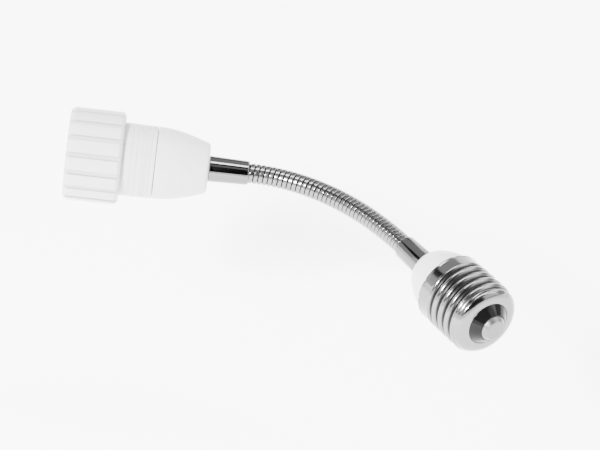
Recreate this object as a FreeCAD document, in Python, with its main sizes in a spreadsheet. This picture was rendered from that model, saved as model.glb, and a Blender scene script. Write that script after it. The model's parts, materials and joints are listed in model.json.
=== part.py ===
"""Flexible lamp socket adapter: a screw cap on a gooseneck that carries a twist-lock lamp socket.

Millimetres, +Z up. The origin is the middle of the cap's centre contact, on its face. The gooseneck
bends in the XY plane, and the socket's axis lies along X with its mouth towards -X.
"""
import FreeCAD
import Part
import Sketcher
import math
import os

from FreeCAD import Placement, Rotation, Vector

doc = FreeCAD.newDocument("SocketAdapter")

# Driving sizes. Lengths are in millimetres and angles in degrees.
SIZES = [
    # Screw cap
    ("contact_height", 4.6, "centre contact's face to the shell's opening"),
    ("contact_radius", 4.85, "centre contact's disc"),
    ("contact_thick", 1.2, "centre contact's disc"),
    ("contact_bevel", 0.4, "bevel round the contact's face"),
    ("shank_radius", 1.9, "contact's hollow shank"),
    ("shank_wall", 0.5, "contact's hollow shank"),
    ("shank_length", 12.4, "contact's hollow shank, behind the disc"),
    ("shell_length", 23.4, "shell's opening to its rim"),
    ("opening_lip", 1.2, "width of the flat ring round the shell's opening"),
    ("shoulder_round", 3.8, "length and depth of the shell's shoulder"),
    ("shell_radius", 13.0, "shell over its thread and at its skirt"),
    ("thread_pitch", 3.63, "rolled thread, turn to turn"),
    ("thread_depth", 0.8, "crest to root"),
    ("thread_flank", 0.55, "length of the slope from a crest to a root"),
    ("thread_lead", 0.65, "end of the shoulder to the first root's edge"),
    ("skirt_length", 4.6, "plain skirt next to the rim, that the neck sits in"),
    ("sheet", 0.35, "thickness of the shell's sheet at the skirt"),
    ("rolled", 1.25, "depth of the rolled thread with the sheet's thickness"),
    ("stake_count", 12, "stakes that hold the shell on the neck"),
    ("stake_width", 1.5, "width of a stake at the rim"),
    ("stake_depth", 1.2, "how far a stake reaches down from the rim"),
    ("flange_gap", 2.75, "insulator's flange to the inside of the shell's thread"),
    ("flange_thick", 2.4, "insulator's flange"),
    ("insulator_boss", 4.4, "radius of the insulator's rear boss"),
    ("boss_length", 1.8, "insulator's rear boss"),
    # Neck of the cap
    ("neck_height", 12.7, "rim to the neck's end face"),
    ("neck_step", 0.9, "shell's outside to the neck's, at the rim"),
    ("neck_waist_height", 6.3, "rim to the place where the neck's dome starts"),
    ("neck_waist_wall", 2.9, "neck's hollow to its outside at that place"),
    ("neck_dome_height", 10.4, "rim to the place half-way round the dome"),
    ("neck_dome_wall", 1.2, "neck's hollow to its outside at that place"),
    ("neck_top_inset", 0.7, "neck's hollow to the edge of its end face, inward"),
    ("neck_room", 1.3, "neck's hollow round the nut"),
    ("neck_wall", 3.0, "end wall that the ferrule is clamped on"),
    # Ferrules and nuts, the same at both ends
    ("ferrule_length", 14.4, "length outside the neck or the cover"),
    ("ferrule_radius", 4.45, "ferrule, halfway along its slight taper"),
    ("ferrule_bevel", 0.9, "length of the bevel at the gooseneck"),
    ("stub_radius", 3.9, "threaded stub through the end wall"),
    ("stub_length", 7.0, "threaded stub, with the end wall"),
    ("wire_way", 2.2, "radius of the way for the wires"),
    ("nut_radius", 6.3, "lock nut, middle to corner"),
    ("nut_thick", 2.4, "lock nut"),
    # Gooseneck
    ("hose_length", 70.0, "ferrule to ferrule, along the curve"),
    ("hose_parts", 9, "stiff lengths that stand for the bending coil"),
    ("hose_radius", 3.5, "coil, between its turns' tops and the grooves"),
    ("hose_gap", 1.5, "gap between two stiff lengths"),
    ("bend", 55.0, "angle between the ferrules' axes"),
    ("bend_lean", 0.55, "how much tighter than its mean the bend is at the socket"),
    # Wires
    ("wire_radius", 0.8, "insulated wire"),
    ("wire_spread", 0.9, "wire's middle to the gooseneck's axis"),
    # Front ring
    ("ring_length", 19.7, "front ring"),
    ("ring_wall", 3.55, "front ring from the body to its lobes' tops"),
    ("ring_front_bevel", 1.5, "length of the bevel at the mouth"),
    ("ring_rear_bevel", 1.0, "length of the bevel at the body"),
    ("ring_bevel_depth", 1.1, "depth of both bevels"),
    ("flute_count", 16, "grooves round the ring"),
    ("flute_width", 1.5, "width of a groove"),
    ("flute_depth", 0.65, "depth of a groove"),
    ("flute_turn", 14.3, "angle from the top to the first groove"),
    ("mouth_wall", 2.5, "recess for the lamp's base to the lobes' tops"),
    ("mouth_depth", 5.0, "recess for the lamp's base"),
    ("lip_cover", 1.85, "how far the ring's inner lip covers the insert's flange"),
    ("lip_thick", 2.0, "ring's inner lip"),
    # Insert and contacts
    ("insert_flange", 2.6, "flange held between the ring's lip and the body"),
    ("insert_gap", 0.45, "gap between the insert and the body"),
    ("insert_length", 16.0, "insert from its face to its rear"),
    ("insert_web", 3.2, "thickness of the face that the pins hook behind"),
    ("pin_spacing", 10.0, "middle to middle of the lamp's two pins"),
    ("pin_entry", 3.0, "radius of the keyhole's round end"),
    ("pin_neck", 3.4, "width of the keyhole's curved slot"),
    ("pin_room", 3.6, "radius of the chamber behind the keyhole"),
    ("lock_turn", 22.0, "angle that the lamp is turned to lock"),
    ("strip_thick", 0.45, "contact strip"),
    ("strip_width", 3.4, "contact strip"),
    ("strip_reach", 9.6, "contact strip in front of the plate"),
    ("strip_place", 7.95, "contact strip's outside, from the socket's axis"),
    ("strip_hook", 0.9, "how far the strip's tip leans in"),
    ("plate_thick", 1.5, "plate behind the insert"),
    # Body and rear cover
    ("body_length", 12.0, "part of the body that shows"),
    ("body_radius", 13.05, "body"),
    ("body_wall", 2.1, "body"),
    ("spigot_length", 3.6, "body's spigot in the cover"),
    ("cover_length", 19.2, "seam to the cover's end face"),
    ("cover_step", 0.1, "body's outside to the cover's, at the seam"),
    ("cover_straight", 4.0, "straight part of the cover next to the seam"),
    ("cover_rim_wall", 1.1, "cover round the spigot"),
    ("cover_bend_height", 11.3, "seam to the place where the cover turns steeper"),
    ("cover_bend_share", 0.548, "that place's radius, as a share of the way out from the shoulder"),
    ("cover_shoulder_wall", 2.3, "cover's room to the outside where its end is rounded"),
    ("cover_drop", 1.5, "length and depth of the rounded end"),
    ("cover_room", 0.7, "room for the wiring, round the nut"),
    ("cover_end_wall", 3.0, "end wall that the ferrule is clamped on"),
    # Fits
    ("fit", 0.1, "gap round what is pressed or pushed in"),
    ("foot_start", 3.4, "contact strip's foot, from the socket's axis"),
    ("lead_place", 4.8, "wire's middle at the plate, from the socket's axis"),
]

sheet = doc.addObject("Spreadsheet::Sheet", "Sizes")
for row, (alias, number, meaning) in enumerate(SIZES, start=1):
    sheet.set(f"A{row}", meaning)
    sheet.set(f"B{row}", str(number))
    sheet.setAlias(f"B{row}", alias)
doc.recompute()


class Size:
    """A number worked out from the sheet, with the expression that gives it."""

    def __init__(self, number, text):
        self.number = number
        self.text = text

    def joined(self, sign, other, number):
        return Size(number, f"({self.text} {sign} {text(other)})")

    def __add__(self, other):
        return self.joined("+", other, self.number + value(other))

    def __sub__(self, other):
        return self.joined("-", other, self.number - value(other))

    def __mul__(self, other):
        return self.joined("*", other, self.number * value(other))

    def __truediv__(self, other):
        return self.joined("/", other, self.number / value(other))


def value(size):
    """The plain number of a size."""
    return size.number if isinstance(size, Size) else float(size)


def text(size):
    """The expression of a size."""
    return size.text if isinstance(size, Size) else str(size)


class Sheet:
    """Gives each alias of the sheet as an attribute."""

    def __getattr__(self, alias):
        return Size(float(getattr(sheet, alias)), f"Sizes.{alias}")


S = Sheet()
ZERO = Size(0.0, "0")


def polar(radius, angle):
    """The x and y of a point at an angle, in degrees, round the Z axis."""
    turn = math.radians(value(angle))
    return (Size(value(radius) * math.cos(turn), f"({text(radius)} * cos({text(angle)} * 1 deg))"),
            Size(value(radius) * math.sin(turn), f"({text(radius)} * sin({text(angle)} * 1 deg))"))


# Helpers for bodies and sketches


def origin_part(body, role):
    """A body's own origin plane or axis, found by its role."""
    return next(o for o in body.Origin.OriginFeatures if o.Role == role)


def new_body(name):
    body = doc.addObject("PartDesign::Body", name)
    body.Label = name
    return body


def new_sketch(body, name, plane):
    """An empty sketch on one of the body's origin planes."""
    sketch = body.newObject("Sketcher::SketchObject", name)
    sketch.AttachmentSupport = (origin_part(body, plane), [""])
    sketch.MapMode = "FlatFace"
    return sketch


def pin_point(sketch, edge, end, x, y):
    """Ties one end of an edge to its place, measured from the sketch's origin."""
    for kind, size, axis in (("DistanceX", x, -2), ("DistanceY", y, -1)):
        if size is ZERO:
            sketch.addConstraint(Sketcher.Constraint("PointOnObject", edge, end, axis))
        else:
            index = sketch.addConstraint(
                Sketcher.Constraint(kind, -1, 1, edge, end, value(size)))
            sketch.setExpression(f"Constraints[{index}]", text(size))


def draw(sketch, corners):
    """A closed outline of straight lines through its corners, each tied to the sheet."""
    points = [Vector(value(x), value(y), 0) for x, y in corners]
    edges = [sketch.addGeometry(Part.LineSegment(start, end))
             for start, end in zip(points, points[1:] + points[:1])]
    for edge, following in zip(edges, edges[1:] + edges[:1]):
        sketch.addConstraint(Sketcher.Constraint("Coincident", edge, 2, following, 1))
    for edge, (x, y) in zip(edges, corners):
        pin_point(sketch, edge, 1, x, y)


def turned(name, corners):
    """A turned body: an outline of radius and height, revolved about the Z axis."""
    body = new_body(name)
    outline = new_sketch(body, f"{name}_outline", "XZ_Plane")
    draw(outline, corners)
    turning = body.newObject("PartDesign::Revolution", f"{name}_turned")
    turning.Profile = outline
    turning.ReferenceAxis = (outline, ["V_Axis"])
    turning.Angle = 360
    outline.Visibility = False
    doc.recompute()
    return body


def round_z(body, name, feature, count):
    """Repeats a body's feature round its Z axis, and makes that the body's result."""
    pattern = body.newObject("PartDesign::PolarPattern", name)
    pattern.Originals = [feature]
    pattern.Axis = (origin_part(body, "Z_Axis"), [""])
    pattern.Angle = 360
    pattern.Occurrences = int(value(count))
    pattern.setExpression("Occurrences", text(count))
    body.Tip = pattern
    doc.recompute()
    return pattern


def rod(name, radius, length, foot, place=(ZERO, ZERO), sector=None):
    """A cylinder along Z, or the sector of one, with its size and place tied to the sheet."""
    made = doc.addObject("Part::Cylinder", name)
    made.setExpression("Radius", text(radius))
    made.setExpression("Height", text(length))
    if sector is not None:
        made.setExpression("Angle", text(sector))
    for axis, size in zip("xyz", (*place, foot)):
        made.setExpression(f"Placement.Base.{axis}", text(size))
    return made


def cut(name, base, tools):
    """A base with tools taken out of it."""
    if len(tools) > 1:
        tool = doc.addObject("Part::MultiFuse", f"{name}_tools")
        tool.Shapes = tools
    else:
        tool = tools[0]
    made = doc.addObject("Part::Cut", name)
    made.Base = base
    made.Tool = tool
    made.Label = name
    doc.recompute()
    return made


# Radii that follow from others
shell_inside = S.shell_radius - S.rolled
shell_opening = S.shell_radius - S.shoulder_round - S.opening_lip
ring_radius = S.body_radius + S.fit + S.ring_wall
body_inside = S.body_radius - S.body_wall
cover_radius = S.body_radius - S.cover_step

# Heights along the cap, from the centre contact's face towards the gooseneck
opening = S.contact_height
rim = opening + S.shell_length
skirt_foot = rim - S.skirt_length
shoulder = opening + S.shoulder_round
neck_end = rim + S.neck_height
cap_end = neck_end + S.ferrule_length

# Heights along the socket, from its mouth towards the gooseneck
flange_face = S.mouth_depth + S.lip_thick
body_front = flange_face + S.insert_flange
insert_rear = S.mouth_depth + S.insert_length
plate_rear = insert_rear + S.plate_thick
seam = S.ring_length + S.body_length
spigot_end = seam + S.spigot_length
cover_end = seam + S.cover_length
socket_end = cover_end + S.ferrule_length


# Screw cap


def make_centre_contact():
    """A round contact with a bevelled face, and the hollow shank that the line wire is soldered in."""
    shank_end = S.contact_thick + S.shank_length
    bore = S.shank_radius - S.shank_wall
    return turned("centre_contact", [
        (ZERO, ZERO),
        (S.contact_radius - S.contact_bevel, ZERO),
        (S.contact_radius, S.contact_bevel),
        (S.contact_radius, S.contact_thick),
        (S.shank_radius, S.contact_thick),
        (S.shank_radius, shank_end),
        (bore, shank_end),
        (bore, S.contact_thick),
        (ZERO, S.contact_thick),
    ])


def make_plug_insulator():
    """The glossy cone that carries the contact, with a flange and a boss inside the shell."""
    hole = S.shank_radius + S.fit
    waist = shell_opening - S.fit
    flange = shell_inside - S.flange_gap
    flange_end = shoulder + S.flange_thick
    return turned("plug_insulator", [
        (hole, S.contact_thick),
        (S.contact_radius - S.fit, S.contact_thick),
        (waist, opening),
        (waist, shoulder),
        (flange, shoulder),
        (flange, flange_end),
        (S.insulator_boss, flange_end),
        (S.insulator_boss, flange_end + S.boss_length),
        (hole, flange_end + S.boss_length),
    ])


def make_screw_shell():
    """The sheet-metal shell: rounded shoulder, rolled thread, plain skirt and staked rim.

    The thread's turns are level rings here, which keeps the solid light, and the skirt is as thin as
    the sheet.
    """
    skirt_inside = S.shell_radius - S.sheet
    arc_start = S.shell_radius - S.shoulder_round
    diagonal = S.shoulder_round * math.sqrt(0.5)
    root = S.shell_radius - S.thread_depth
    groove = S.thread_pitch / 2 + S.thread_flank
    start = shoulder + S.thread_lead
    room = skirt_foot - start - groove
    thread = []
    for turn in range(int(value(room / S.thread_pitch)) + 1):
        low = start + S.thread_pitch * turn
        high = low + groove
        thread += [
            (S.shell_radius, low),
            (root, low + S.thread_flank),
            (root, high - S.thread_flank),
            (S.shell_radius, high),
        ]
    body = turned("screw_shell", [
        (shell_opening, opening),
        (arc_start, opening),
        (arc_start + diagonal, shoulder - diagonal),
        (S.shell_radius, shoulder),
        *thread,
        (S.shell_radius, rim),
        (skirt_inside, rim),
        (skirt_inside, skirt_foot),
        (shell_inside, skirt_foot),
        (shell_inside, shoulder),
        (shell_opening, shoulder),
    ])
    notch = new_sketch(body, "stake_outline", "YZ_Plane")
    draw(notch, [
        (ZERO, rim - S.stake_depth),
        (S.stake_width / 2, rim),
        (S.stake_width / 2, rim + S.stake_depth),
        (ZERO, rim + S.stake_depth),
    ])
    stake = body.newObject("PartDesign::Pocket", "stake")
    stake.Profile = notch
    stake.Type = 0
    stake.Reversed = True
    stake.setExpression("Length", text(S.shell_radius + S.fit))
    doc.recompute()
    round_z(body, "stakes", stake, S.stake_count)
    return body


def make_plug_neck():
    """The moulded neck: a boss in the shell's skirt, a domed outside and a hollow for the nut."""
    boss = S.shell_radius - S.sheet - S.fit
    hollow = S.nut_radius + S.neck_room
    stub_hole = S.stub_radius + S.fit
    inner_face = neck_end - S.neck_wall
    foot = skirt_foot + S.fit
    return turned("plug_neck", [
        (hollow, foot),
        (boss, foot),
        (boss, rim),
        (S.shell_radius - S.neck_step, rim),
        (hollow + S.neck_waist_wall, rim + S.neck_waist_height),
        (hollow + S.neck_dome_wall, rim + S.neck_dome_height),
        (hollow - S.neck_top_inset, neck_end),
        (stub_hole, neck_end),
        (stub_hole, inner_face),
        (hollow, inner_face),
    ])


# What clamps the gooseneck, the same at both ends


def make_ferrule(name, seat):
    """A turned ferrule that stands on a seat, with its threaded stub through the wall behind it."""
    end = seat + S.ferrule_length
    return turned(name, [
        (S.wire_way, seat - S.stub_length),
        (S.stub_radius, seat - S.stub_length),
        (S.stub_radius, seat),
        (S.ferrule_radius, seat),
        (S.ferrule_radius, end - S.ferrule_bevel),
        (S.hose_radius + S.fit, end),
        (S.wire_way, end),
    ])


def make_nut(name, wall):
    """A six-sided nut on the stub, tight against the inner face of an end wall."""
    foot = wall - S.nut_thick
    block = doc.addObject("Part::Prism", f"{name}_block")
    block.Polygon = 6
    block.setExpression("Circumradius", text(S.nut_radius))
    block.setExpression("Height", text(S.nut_thick))
    block.setExpression("Placement.Base.z", text(foot))
    bore = rod(f"{name}_bore", S.stub_radius + S.fit, S.nut_thick, foot)
    return cut(name, block, [bore])


# Gooseneck


hose_step = (S.hose_length - S.hose_gap) / S.hose_parts


def make_hose_part(name):
    """One stiff length of the coil, hollow for the wires."""
    near = S.hose_gap / 2
    far = hose_step - near
    return turned(name, [
        (S.wire_way, near),
        (S.hose_radius, near),
        (S.hose_radius, far),
        (S.wire_way, far),
    ])


# Socket


def make_front_ring():
    """The fluted ring: a recess for the lamp's base, and a lip that holds the insert."""
    inside = S.body_radius + S.fit
    edge = ring_radius - S.ring_bevel_depth
    recess = ring_radius - S.mouth_wall
    lip = S.body_radius - S.lip_cover
    body = turned("front_ring", [
        (recess, ZERO),
        (edge, ZERO),
        (ring_radius, S.ring_front_bevel),
        (ring_radius, S.ring_length - S.ring_rear_bevel),
        (edge, S.ring_length),
        (inside, S.ring_length),
        (inside, flange_face),
        (lip, flange_face),
        (lip, S.mouth_depth),
        (recess, S.mouth_depth),
    ])
    outline = new_sketch(body, "flute_outline", "XY_Plane")
    floor = ring_radius - S.flute_depth
    side = S.flute_width / 2
    draw(outline, [
        (floor, side * -1),
        (ring_radius + S.flute_depth, side * -1),
        (ring_radius + S.flute_depth, side),
        (floor, side),
    ])
    flute = body.newObject("PartDesign::Pocket", "flute")
    flute.Profile = outline
    flute.Type = 0
    flute.Reversed = True
    flute.setExpression("Length", text(S.ring_length))
    doc.recompute()
    round_z(body, "flutes", flute, S.flute_count)
    return body


def keyhole(side):
    """The tools that cut one keyhole and the chamber behind it. side is its angle from the top."""
    reach = S.pin_spacing / 2
    web_end = S.mouth_depth + S.insert_web
    tools = []
    for part, wide, low, high in (("neck", S.pin_neck / 2, S.mouth_depth, web_end),
                                  ("room", S.pin_room, web_end, insert_rear)):
        whole = rod(f"{part}_whole_{side}", reach + wide, high - low, low, sector=S.lock_turn)
        core = rod(f"{part}_core_{side}", reach - wide, high - low, low)
        sweep = doc.addObject("Part::Cut", f"{part}_sweep_{side}")
        sweep.Base = whole
        sweep.Tool = core
        sweep.Placement = Placement(Vector(), Rotation(Vector(0, 0, 1), side))
        locked = rod(f"{part}_locked_{side}", wide, high - low, low,
                     polar(reach, S.lock_turn + side))
        tools += [sweep, locked]
    entry = polar(reach, Size(side, str(side)))
    tools.append(rod(f"entry_{side}", S.pin_entry, S.insert_web, S.mouth_depth, entry))
    tools.append(rod(f"entry_room_{side}", S.pin_room, insert_rear - web_end, web_end, entry))
    return tools


def make_lamp_insert():
    """The insulating insert: two keyholes in its face and a chamber behind each of them."""
    rear_radius = body_inside - S.insert_gap
    face_radius = S.body_radius - S.lip_cover - S.fit
    blank = turned("insert_blank", [
        (ZERO, S.mouth_depth),
        (face_radius, S.mouth_depth),
        (face_radius, flange_face),
        (S.body_radius, flange_face),
        (S.body_radius, body_front),
        (rear_radius, body_front),
        (rear_radius, insert_rear),
        (ZERO, insert_rear),
    ])
    tools = [tool for side in PIN_SIDES for tool in keyhole(side)]
    return cut("lamp_insert", blank, tools)


def make_contact(name):
    """A spring strip: a foot on the plate, and a leaf beside the locked pin's head."""
    outer = S.strip_place
    inner = outer - S.strip_thick
    tip = insert_rear - S.strip_reach
    body = new_body(name)
    outline = new_sketch(body, f"{name}_outline", "XZ_Plane")
    draw(outline, [
        (S.foot_start, insert_rear - S.strip_thick),
        (inner, insert_rear - S.strip_thick),
        (inner, tip + S.strip_hook),
        (inner - S.strip_hook, tip),
        (outer - S.strip_hook, tip),
        (outer, tip + S.strip_hook),
        (outer, insert_rear),
        (S.foot_start, insert_rear),
    ])
    strip = body.newObject("PartDesign::Pad", f"{name}_strip")
    strip.Profile = outline
    strip.SideType = "Symmetric"
    strip.setExpression("Length", text(S.strip_width))
    outline.Visibility = False
    doc.recompute()
    return body


def make_contact_plate():
    """The plate that closes the chambers, pushed into the body, with holes for the two wires."""
    blank = rod("plate_blank", body_inside - S.fit, S.plate_thick, insert_rear)
    tools = [rod(f"lead_hole_{side}", S.wire_radius + S.fit, S.plate_thick, insert_rear,
                 polar(S.lead_place, S.lock_turn + side)) for side in PIN_SIDES]
    return cut("contact_plate", blank, tools)


def make_socket_body():
    """The body: a tube in the ring, its visible part, and the spigot that the cover sits on."""
    spigot = cover_radius - S.cover_rim_wall - S.fit
    return turned("socket_body", [
        (body_inside, body_front),
        (S.body_radius, body_front),
        (S.body_radius, seam),
        (spigot, seam),
        (spigot, spigot_end),
        (body_inside, spigot_end),
    ])


def make_rear_cover():
    """The rounded cover over the wiring, with the end wall that the ferrule is clamped on."""
    socket = cover_radius - S.cover_rim_wall
    step = spigot_end + S.fit * 3
    room = S.nut_radius + S.cover_room
    rounding = room + S.cover_shoulder_wall
    bend = rounding + (cover_radius - rounding) * S.cover_bend_share
    inner_face = cover_end - S.cover_end_wall
    stub_hole = S.stub_radius + S.fit
    return turned("rear_cover", [
        (socket, seam),
        (cover_radius, seam),
        (cover_radius, seam + S.cover_straight),
        (bend, seam + S.cover_bend_height),
        (rounding, cover_end - S.cover_drop),
        (rounding - S.cover_drop, cover_end),
        (stub_hole, cover_end),
        (stub_hole, inner_face),
        (room, inner_face),
        (room, step),
        (socket, step),
    ])


# Where everything goes


PIN_SIDES = (90, 270)
UP = Vector(0, 0, 1)


def heading(degrees):
    """A level direction, by its angle from +X."""
    turn = math.radians(degrees)
    return Vector(math.cos(turn), math.sin(turn), 0)


def along(origin, direction, twist=0.0):
    """A placement that turns local Z to a level direction and local X upward, then twists it."""
    side = direction.cross(UP)
    stand = Rotation(UP, side, direction, "ZXY")
    return Placement(origin, stand.multiply(Rotation(Vector(0, 0, 1), twist)))


def turned_by(share):
    """How far the gooseneck has turned at a share of its length, from the cap."""
    lean = value(S.bend_lean) * share * (1 - share)
    return value(S.bend) * (share - lean)


def hose_route():
    """The joints' places along the gooseneck, and the heading of each stiff length."""
    count = int(value(S.hose_parts))
    headings = [180 - value(S.bend) + turned_by((part + 0.5) / count) for part in range(count)]
    places = [cap_inward * (value(cap_end) + value(S.hose_gap) / 2)]
    for angle in headings:
        places.append(places[-1] + heading(angle) * value(hose_step))
    return places, headings


def make_wire(name, points):
    """An insulated wire: a round section swept along the straight runs of its route."""
    path = Part.makePolygon(points)
    section = Part.Wire(Part.makeCircle(value(S.wire_radius), points[0], points[1] - points[0]))
    made = doc.addObject("Part::Feature", name)
    made.Shape = path.makePipeShell([section], True, False, MITRED)
    made.Label = name
    straight = math.pi * value(S.wire_radius) ** 2 * path.Length
    if abs(made.Shape.Volume / straight - 1) > 0.02:
        raise ValueError(f"{name} isn't its section times its length")
    print(f"{name} is {path.Length:.1f} mm long")
    return made


MITRED = 1   # how the sweep turns its corners
cap_inward = heading(180 - value(S.bend))
joints, headings = hose_route()
socket_inward = Vector(1, 0, 0)
mouth = joints[-1] - socket_inward * (value(socket_end) + value(S.hose_gap) / 2)
cap_frame = along(Vector(), cap_inward)
socket_frame = along(mouth, socket_inward)


def in_cap(up, height):
    """A point in the upright plane through the cap's axis."""
    return cap_inward * value(height) + UP * value(up)


def in_socket(radius, angle, height):
    """A point in the socket, by its distance from the axis, its angle and its depth."""
    x, y = polar(radius, angle)
    return socket_frame.multVec(Vector(value(x), value(y), value(height)))


def crossing(start, direction, other, other_direction):
    """Where two level lines meet."""
    apart = other - start
    turn = direction.cross(other_direction).z
    return start + direction * (apart.cross(other_direction).z / turn)


def hose_corners():
    """Where the axes of the ferrules and of every other stiff length meet in turn."""
    lines = [(Vector(), cap_inward)]
    lines += [(joints[part], heading(headings[part])) for part in range(1, len(headings), 2)]
    lines.append((mouth, socket_inward))
    return [crossing(*line, *following) for line, following in zip(lines, lines[1:])]


def make_wires():
    """The line wire runs to the centre contact, and the neutral wire to the shell."""
    spread = S.wire_spread
    way_in = neck_end - S.stub_length - S.wire_way
    way_out = cover_end - S.stub_length - S.wire_way
    turn_in = insert_rear + (way_out - insert_rear) / 4
    neutral_foot = (shoulder + skirt_foot) / 2
    line = [in_cap(0, S.contact_thick + S.wire_radius * 2), in_cap(spread, way_in)]
    line += [corner + UP * value(spread) for corner in hose_corners()]
    line.append(in_socket(spread, 0, way_out))
    neutral = [in_cap((shell_inside - S.wire_radius) * -1, neutral_foot),
               in_cap(spread * -1, way_in)]
    neutral += [corner - UP * value(spread) for corner in hose_corners()]
    neutral.append(in_socket(spread, 180, way_out))
    for route, side in ((line, 270), (neutral, 90)):
        route.append(in_socket(S.lead_place, S.lock_turn + side, turn_in))
        route.append(in_socket(S.lead_place, S.lock_turn + side, insert_rear))
    return [make_wire("line_wire", line), make_wire("neutral_wire", neutral)]


def make_all():
    """Every sub-part, in its place."""
    parts = []
    neck_face = neck_end - S.neck_wall
    cover_face = cover_end - S.cover_end_wall
    in_cap_frame = [
        make_centre_contact(), make_plug_insulator(), make_screw_shell(), make_plug_neck(),
        make_nut("plug_lock_nut", neck_face), make_ferrule("plug_ferrule", neck_end),
    ]
    in_socket_frame = [
        make_ferrule("socket_ferrule", cover_end), make_nut("socket_lock_nut", cover_face),
        make_rear_cover(), make_socket_body(), make_lamp_insert(), make_contact_plate(),
    ]
    for part in in_cap_frame:
        part.Placement = cap_frame
    for part in in_socket_frame:
        part.Placement = socket_frame
    ring = make_front_ring()
    ring.Placement = along(mouth, socket_inward, value(S.flute_turn))
    parts += in_cap_frame + in_socket_frame + [ring]
    for name, side in zip(("contact_right", "contact_left"), PIN_SIDES):
        contact = make_contact(name)
        contact.Placement = along(mouth, socket_inward, side + value(S.lock_turn))
        parts.append(contact)
    for number, (place, angle) in enumerate(zip(joints, headings), start=1):
        length = make_hose_part(f"gooseneck_{number:02d}")
        length.Placement = along(place, heading(angle))
        parts.append(length)
    parts += make_wires()
    return parts


parts = make_all()
doc.recompute()

for thing in doc.Objects:
    if "Invalid" in thing.State or "Error" in thing.State:
        raise ValueError(f"{thing.Label} failed")
os.makedirs("parts", exist_ok=True)
for part in parts:
    if part.Shape.isNull() or not part.Shape.isValid():
        raise ValueError(f"{part.Label} has no valid shape")
    part.Shape.exportStep(f"parts/{part.Label}.step")
print(f"{len(parts)} sub-parts written")
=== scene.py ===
# %% [markdown]
# # A flexible lamp socket adapter
# A screw cap goes into an ordinary lamp holder, a gooseneck carries a twist-lock lamp socket, and the
# gooseneck stays where it is bent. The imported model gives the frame: its bodies, joints and nodes. This
# lesson dresses it, piece by piece, with surfaces that are worked out as numpy arrays.

import bmesh
import bpy
import json
import math
import numpy as np
from mathutils import Matrix, Vector


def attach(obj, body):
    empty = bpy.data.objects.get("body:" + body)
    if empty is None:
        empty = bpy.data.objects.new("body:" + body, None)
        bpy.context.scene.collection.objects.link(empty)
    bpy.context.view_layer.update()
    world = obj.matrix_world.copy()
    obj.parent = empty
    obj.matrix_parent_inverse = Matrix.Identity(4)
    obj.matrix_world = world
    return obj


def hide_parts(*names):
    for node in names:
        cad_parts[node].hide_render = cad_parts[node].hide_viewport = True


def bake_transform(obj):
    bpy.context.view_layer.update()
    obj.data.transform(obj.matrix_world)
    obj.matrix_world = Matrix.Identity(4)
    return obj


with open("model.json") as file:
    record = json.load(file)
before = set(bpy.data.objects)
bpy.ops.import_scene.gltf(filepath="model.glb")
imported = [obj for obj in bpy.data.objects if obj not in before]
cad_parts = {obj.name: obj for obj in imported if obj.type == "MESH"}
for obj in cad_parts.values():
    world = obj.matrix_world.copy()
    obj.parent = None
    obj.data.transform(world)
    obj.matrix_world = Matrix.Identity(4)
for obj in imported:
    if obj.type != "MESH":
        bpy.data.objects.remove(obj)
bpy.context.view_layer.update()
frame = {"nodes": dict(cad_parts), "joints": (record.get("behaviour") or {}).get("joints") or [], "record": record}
MM = 0.001
TAU = 2 * math.pi
record = frame["record"]

# %% [markdown]
# ## Two local axes
# Most pieces are turned on one of two axes: the cap's or the socket's. A turned shape is easiest to
# describe as if its axis stood upright, so each axis gets a small object that carries local points, in
# millimetres, to their place in the row's frame, in metres. Local z runs along the axis towards the
# gooseneck, and local x points up.


# %% Places along an axis
class Place:
    """Carries points (..., 3) from an axis's own coordinates to the row's frame."""

    def __init__(self, origin, inward):
        self.origin = np.array(origin, float)
        self.z = np.array(inward, float) / np.linalg.norm(inward)
        self.x = np.array((0.0, 0.0, 1.0))
        self.y = np.cross(self.z, self.x)

    def __call__(self, points):
        p = np.asarray(points, float)
        return (self.origin + p[..., 0:1] * self.x + p[..., 1:2] * self.y + p[..., 2:3] * self.z) * MM

    def angle_of(self, direction):
        """The local angle round the axis of a direction in the row's frame."""
        return math.atan2(float(np.dot(direction, self.y)), float(np.dot(direction, self.x)))


mounts = {mount["name"]: mount for mount in record["mounts"]}
mouth_depth = mounts["lamp_mouth"]["dims"]["length_mm"]
cap_outward = np.array(mounts["centre_contact"]["axis"])
socket_inward = -np.array(mounts["lamp_mouth"]["axis"])
mouth = np.array(mounts["lamp_mouth"]["pos_m"]) / MM - socket_inward * mouth_depth / 2
cap = Place((0, 0, 0), -cap_outward)
socket = Place(mouth, socket_inward)
print("The mouth's centre in mm:", np.round(mouth, 2))

# %% [markdown]
# ## The camera
# The photograph was taken from in front and above with a long lens, so parallel edges stay nearly
# parallel. The angles and the distance come from fitting the object's outline, and they set the camera
# first, because some details, such as where the thread's crests show, are counted from its side.

# %% The camera at the photograph's angle
ELEVATION = math.radians(33.24)
ROLL = math.radians(7.74)
SIDEWAYS = math.radians(2.29)      # the socket's axis leans this far away from the camera's right
DISTANCE = 1272.4                  # mm, to the pivot below
PIVOT = np.array((100.0, -30.0, 0.0))
OFFSET = (13.74, -3.84)            # mm, the pivot to the middle of the picture
LENS = 218.0

spin = np.array([[math.cos(SIDEWAYS), math.sin(SIDEWAYS), 0],
                 [-math.sin(SIDEWAYS), math.cos(SIDEWAYS), 0],
                 [0, 0, 1]])
looking = np.array((0, math.cos(ELEVATION), -math.sin(ELEVATION)))
level = np.array((1.0, 0, 0))
upright = np.cross(level, looking)
rightward = math.cos(ROLL) * level + math.sin(ROLL) * upright
upward = -math.sin(ROLL) * level + math.cos(ROLL) * upright
eye = spin @ (PIVOT - looking * DISTANCE - rightward * OFFSET[0] - upward * OFFSET[1]) + mouth
looking, rightward, upward = (spin @ v for v in (looking, rightward, upward))

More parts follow.
